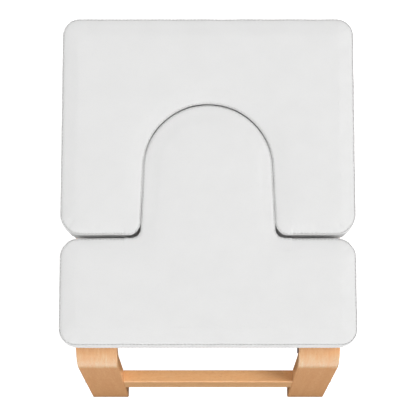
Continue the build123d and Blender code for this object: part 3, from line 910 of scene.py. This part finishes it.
def spunbond():
    """Black non-woven cloth, spot-welded in a diamond pattern."""
    m = Material("black_spunbond", 0.85)
    waves = []
    for sign in (1, -1):
        slant = m.math("ADD", m.x, m.math("MULTIPLY", m.y, sign))
        waves.append(m.math("COSINE", m.math("MULTIPLY", slant, 2 * math.pi / (2.2 * MM))))
    weld = m.levels(m.math("ADD", *waves), 1.1, 1.5)
    fibres = m.noise(m.stretched(m.x, m.y, m.z, (0.35 * MM, 1.6 * MM, 1 * MM)), 1, 3)
    crossed = m.noise(m.stretched(m.y, m.x, m.z, (0.3 * MM, 1.9 * MM, 1 * MM)), 1, 3)
    web = m.math("ADD", fibres, crossed)
    colour = m.mix(m.levels(web, 0.7, 1.3), (0.012, 0.012, 0.013), (0.035, 0.035, 0.036))
    colour = m.mix(m.math("MULTIPLY", weld, 0.6), colour, (0.010, 0.010, 0.010))
    relief = m.math("SUBTRACT", m.math("MULTIPLY", web, 0.5), weld)
    return m.finish(colour, relief, 0.12 * MM)


def webbing():
    """Dark polyester webbing: a fine herringbone of warp threads along the strap, with painted shade
    between the threads.
    """
    m = Material("dark_webbing", 0.7)
    rib = 1.3 * MM
    zigzag = m.math("PINGPONG", m.z, rib)
    slant = m.math("ADD", m.y, zigzag)
    threads = m.math("SINE", m.math("MULTIPLY", slant, 2 * math.pi / (0.9 * MM)))
    edge = m.math("SINE", m.math("MULTIPLY", m.z, 2 * math.pi / rib))
    fuzz = m.noise(m.place, 3000, 2)
    # The herringbone is coloured partly as painted shade: darker in the troughs between threads, lighter on
    # their crests
    colour = m.mix(m.levels(threads, -1, 1), (0.045, 0.030, 0.031), (0.120, 0.085, 0.085))
    colour = m.mix(m.levels(fuzz, 0.4, 0.7, 0.0, 0.3), colour, (0.170, 0.125, 0.125))
    relief = m.math("ADD", threads, m.math("MULTIPLY", edge, 0.6))
    return m.finish(colour, relief, 0.12 * MM)


def rubber():
    """Moulded foot rubber, faintly mottled."""
    m = Material("foot_rubber", 0.75)
    grain = m.noise(m.place, 1500, 3)
    mottling = m.levels(m.noise(m.place, 60, 3), 0.35, 0.65)
    colour = m.mix(mottling, (0.030, 0.030, 0.031), (0.046, 0.045, 0.044))
    return m.finish(colour, grain, 0.06 * MM, m.levels(grain, 0.3, 0.7, 0.62, 0.85))


def zinc():
    """Zinc-plated steel with the soft spangle and turning marks of plated hardware."""
    m = Material("zinc_steel", 0.35, Metallic=1.0)
    turning = m.noise(m.stretched(m.x, m.y, m.z, (2 * MM, 2 * MM, 0.12 * MM)), 1, 2)
    spangle = m.cells(m.place, 350)
    colour = m.mix(m.levels(spangle, 0.0, 0.8), (0.58, 0.60, 0.63), (0.70, 0.71, 0.72))
    return m.finish(colour, turning, 0.03 * MM, m.levels(turning, 0.3, 0.7, 0.26, 0.46))


def staple_wire():
    """Drawn, galvanised wire with marks along its length."""
    m = Material("staple_wire", 0.3, Metallic=1.0)
    marks = m.noise(m.place, 2600, 2)
    colour = m.mix(m.levels(marks, 0.3, 0.7), (0.62, 0.62, 0.63), (0.76, 0.76, 0.77))
    return m.finish(colour, marks, 0.02 * MM, m.levels(marks, 0.3, 0.7, 0.24, 0.42))


def give_material(material, *names):
    """Assigns a material to CAD nodes, whose shapes stay as they are."""
    for name in names:
        for slot in nodes[name].material_slots:
            slot.material = material


# Stage ------------------------------------------------------------------------------------------


def floor():
    """A white studio sweep, clear from below, that glows to light the stool: dimmed under it as a painted
    shadow, brighter in gloss further out.
    """
    signs = ((-1, -1), (1, -1), (1, 1), (-1, 1))
    corners = [(x * FLOOR_REACH, y * FLOOR_REACH, -FLOOR_DROP) for x, y in signs]
    obj = new_object("studio_floor", corners, [(0, 1, 2, 3)])
    m = Material("studio_floor", 0.9, Specular_IOR_Level=0.0, Emission_Strength=FLOOR_GLOW)
    m.shader.inputs["Emission Color"].default_value = (1, 1, 1, 1)
    m.finish(m.mix(m.noise(m.place, 2, 2), (0.50, 0.50, 0.50), (0.51, 0.51, 0.51)))
    aside = m.math("MAXIMUM", m.math("SUBTRACT", m.math("ABSOLUTE", m.x), cad_high.x), 0.0)
    ahead = m.math("MAXIMUM", m.math("SUBTRACT", m.math("ABSOLUTE", m.y), cad_high.y), 0.0)
    away = m.math("SQRT", m.math("ADD", m.math("MULTIPLY", aside, aside), m.math("MULTIPLY", ahead, ahead)))
    beyond = m.math("MAXIMUM", m.math("SUBTRACT", away, FLOOR_GLOSS_START), 0.0)
    gloss_fading = m.math("EXPONENT", m.math("DIVIDE", beyond, -FLOOR_GLOSS_FADE))
    gloss = m.math("MULTIPLY", m.math("SUBTRACT", 1.0, gloss_fading), FLOOR_GLOSS)
    # Painted shadow: the floor's glow is dimmed under the stool and close round it
    painted_shadow_share = m.math("EXPONENT", m.math("DIVIDE", away, -FLOOR_BOUNCE_FADE))
    bounce = m.levels(painted_shadow_share, 0, 1, FLOOR_BOUNCE, FLOOR_PAINTED_SHADOW_GLOW)
    path = m.node("LightPath", {}).outputs
    strength = m.levels(path["Is Glossy Ray"], 0, 1, bounce, gloss)
    light = m.node("Emission", {"Strength": strength})
    both = m.node("MixShader", {0: path["Is Camera Ray"], 1: light.outputs[0], 2: m.shader.outputs[0]})
    from_below = m.node("NewGeometry", {}).outputs["Backfacing"]
    clear = m.node("BsdfTransparent", {}).outputs[0]
    one_sided = m.node("MixShader", {0: from_below, 1: both.outputs[0], 2: clear})
    m.tree.links.new(one_sided.outputs[0], m.tree.nodes["Material Output"].inputs["Surface"])
    obj.data.materials.append(m.made)


def sky():
    """Soft studio light from all round, brightest overhead; bright in gloss and white to the camera."""
    world = bpy.data.worlds.new("studio")
    world.use_nodes = True
    tree = world.node_tree
    background = tree.nodes["Background"]
    background.inputs["Color"].default_value = (1, 1, 1, 1)
    direction = tree.nodes.new("ShaderNodeTexCoord")
    split = tree.nodes.new("ShaderNodeSeparateXYZ")
    rise = tree.nodes.new("ShaderNodeMapRange")
    rise.inputs["To Min"].default_value = SKY_HORIZON
    rise.inputs["To Max"].default_value = SKY_ZENITH
    path = tree.nodes.new("ShaderNodeLightPath")
    gloss = tree.nodes.new("ShaderNodeMix")
    gloss.inputs["B"].default_value = SKY_GLOSS
    seen = tree.nodes.new("ShaderNodeMix")
    seen.inputs["B"].default_value = 1.0
    tree.links.new(direction.outputs["Generated"], split.inputs[0])
    tree.links.new(split.outputs["Z"], rise.inputs["Value"])
    tree.links.new(path.outputs["Is Camera Ray"], seen.inputs["Factor"])
    tree.links.new(path.outputs["Is Glossy Ray"], gloss.inputs["Factor"])
    tree.links.new(rise.outputs["Result"], gloss.inputs["A"])
    tree.links.new(gloss.outputs["Result"], seen.inputs["A"])
    tree.links.new(seen.outputs["Result"], background.inputs["Strength"])
    bpy.context.scene.world = world


def distant_light(name, direction, strength, angle):
    """A soft-edged sun lamp that shines from the given direction."""
    light = bpy.data.lights.new(name, "SUN")
    light.energy = strength
    light.angle = angle
    obj = bpy.data.objects.new(name, light)
    obj.rotation_euler = Vector(direction).to_track_quat("Z", "Y").to_euler()
    bpy.context.scene.collection.objects.link(obj)


def camera():
    """Looks down on the seat from high up, tilted a little from the front."""
    data = bpy.data.cameras.new("camera")
    data.lens = CAMERA_LENS
    data.sensor_width = 36
    obj = bpy.data.objects.new("camera", data)
    obj.location = CAMERA_PLACE
    obj.rotation_euler = (CAMERA_TILT, 0, 0)
    bpy.context.scene.collection.objects.link(obj)
    bpy.context.scene.camera = obj


# The object -------------------------------------------------------------------------------------

leather = leatherette()
thread = sewing_thread()
foam = upholstery_foam()
dust_fabric = spunbond()
hardware = zinc()
dowel_across = solid_beech("dowel_beech", "x", BEECH_LIGHT, BEECH_DARK, 0.0)
dowel_upright = solid_beech("peg_beech", "z", BEECH_LIGHT, BEECH_DARK, 0.0)
lacquered = solid_beech("solid_beech", "x", SOLID_LIGHT, SOLID_DARK)

pad("shoulder_pad", "shoulder", "frame", shoulder_corners())
pad("insert_pad", "insert", "insert", insert_corners())
add_piece(pull_tab(), "insert", "webbing", webbing(), "insert_pad_pull_tab")

feet = [name for name in nodes if name.startswith("foot_pad")]
give_material(bentwood(), "right_side_frame", "left_side_frame")
give_material(lacquered, "front_stretcher", "rear_stretcher", "tongue_rest_slat")
give_material(dowel_across, "frame_dowels")
give_material(dowel_upright, "insert_pad_pegs")
give_material(plywood(), "shoulder_pad_board", "insert_pad_board")
give_material(rubber(), *feet)
give_material(hardware, "frame_bolts", "barrel_nuts", "foot_screws")
give_material(hardware, "shoulder_pad_bolts", "shoulder_pad_washers", "shoulder_pad_tee_nuts")
give_material(staple_wire(), "shoulder_pad_staples", "insert_pad_staples")

floor()
sky()
distant_light("key", KEY_DIRECTION, KEY_STRENGTH, KEY_ANGLE)
distant_light("front_fill", FILL_DIRECTION, FILL_STRENGTH, FILL_ANGLE)
camera()
bpy.context.scene.view_settings.view_transform = "Standard"
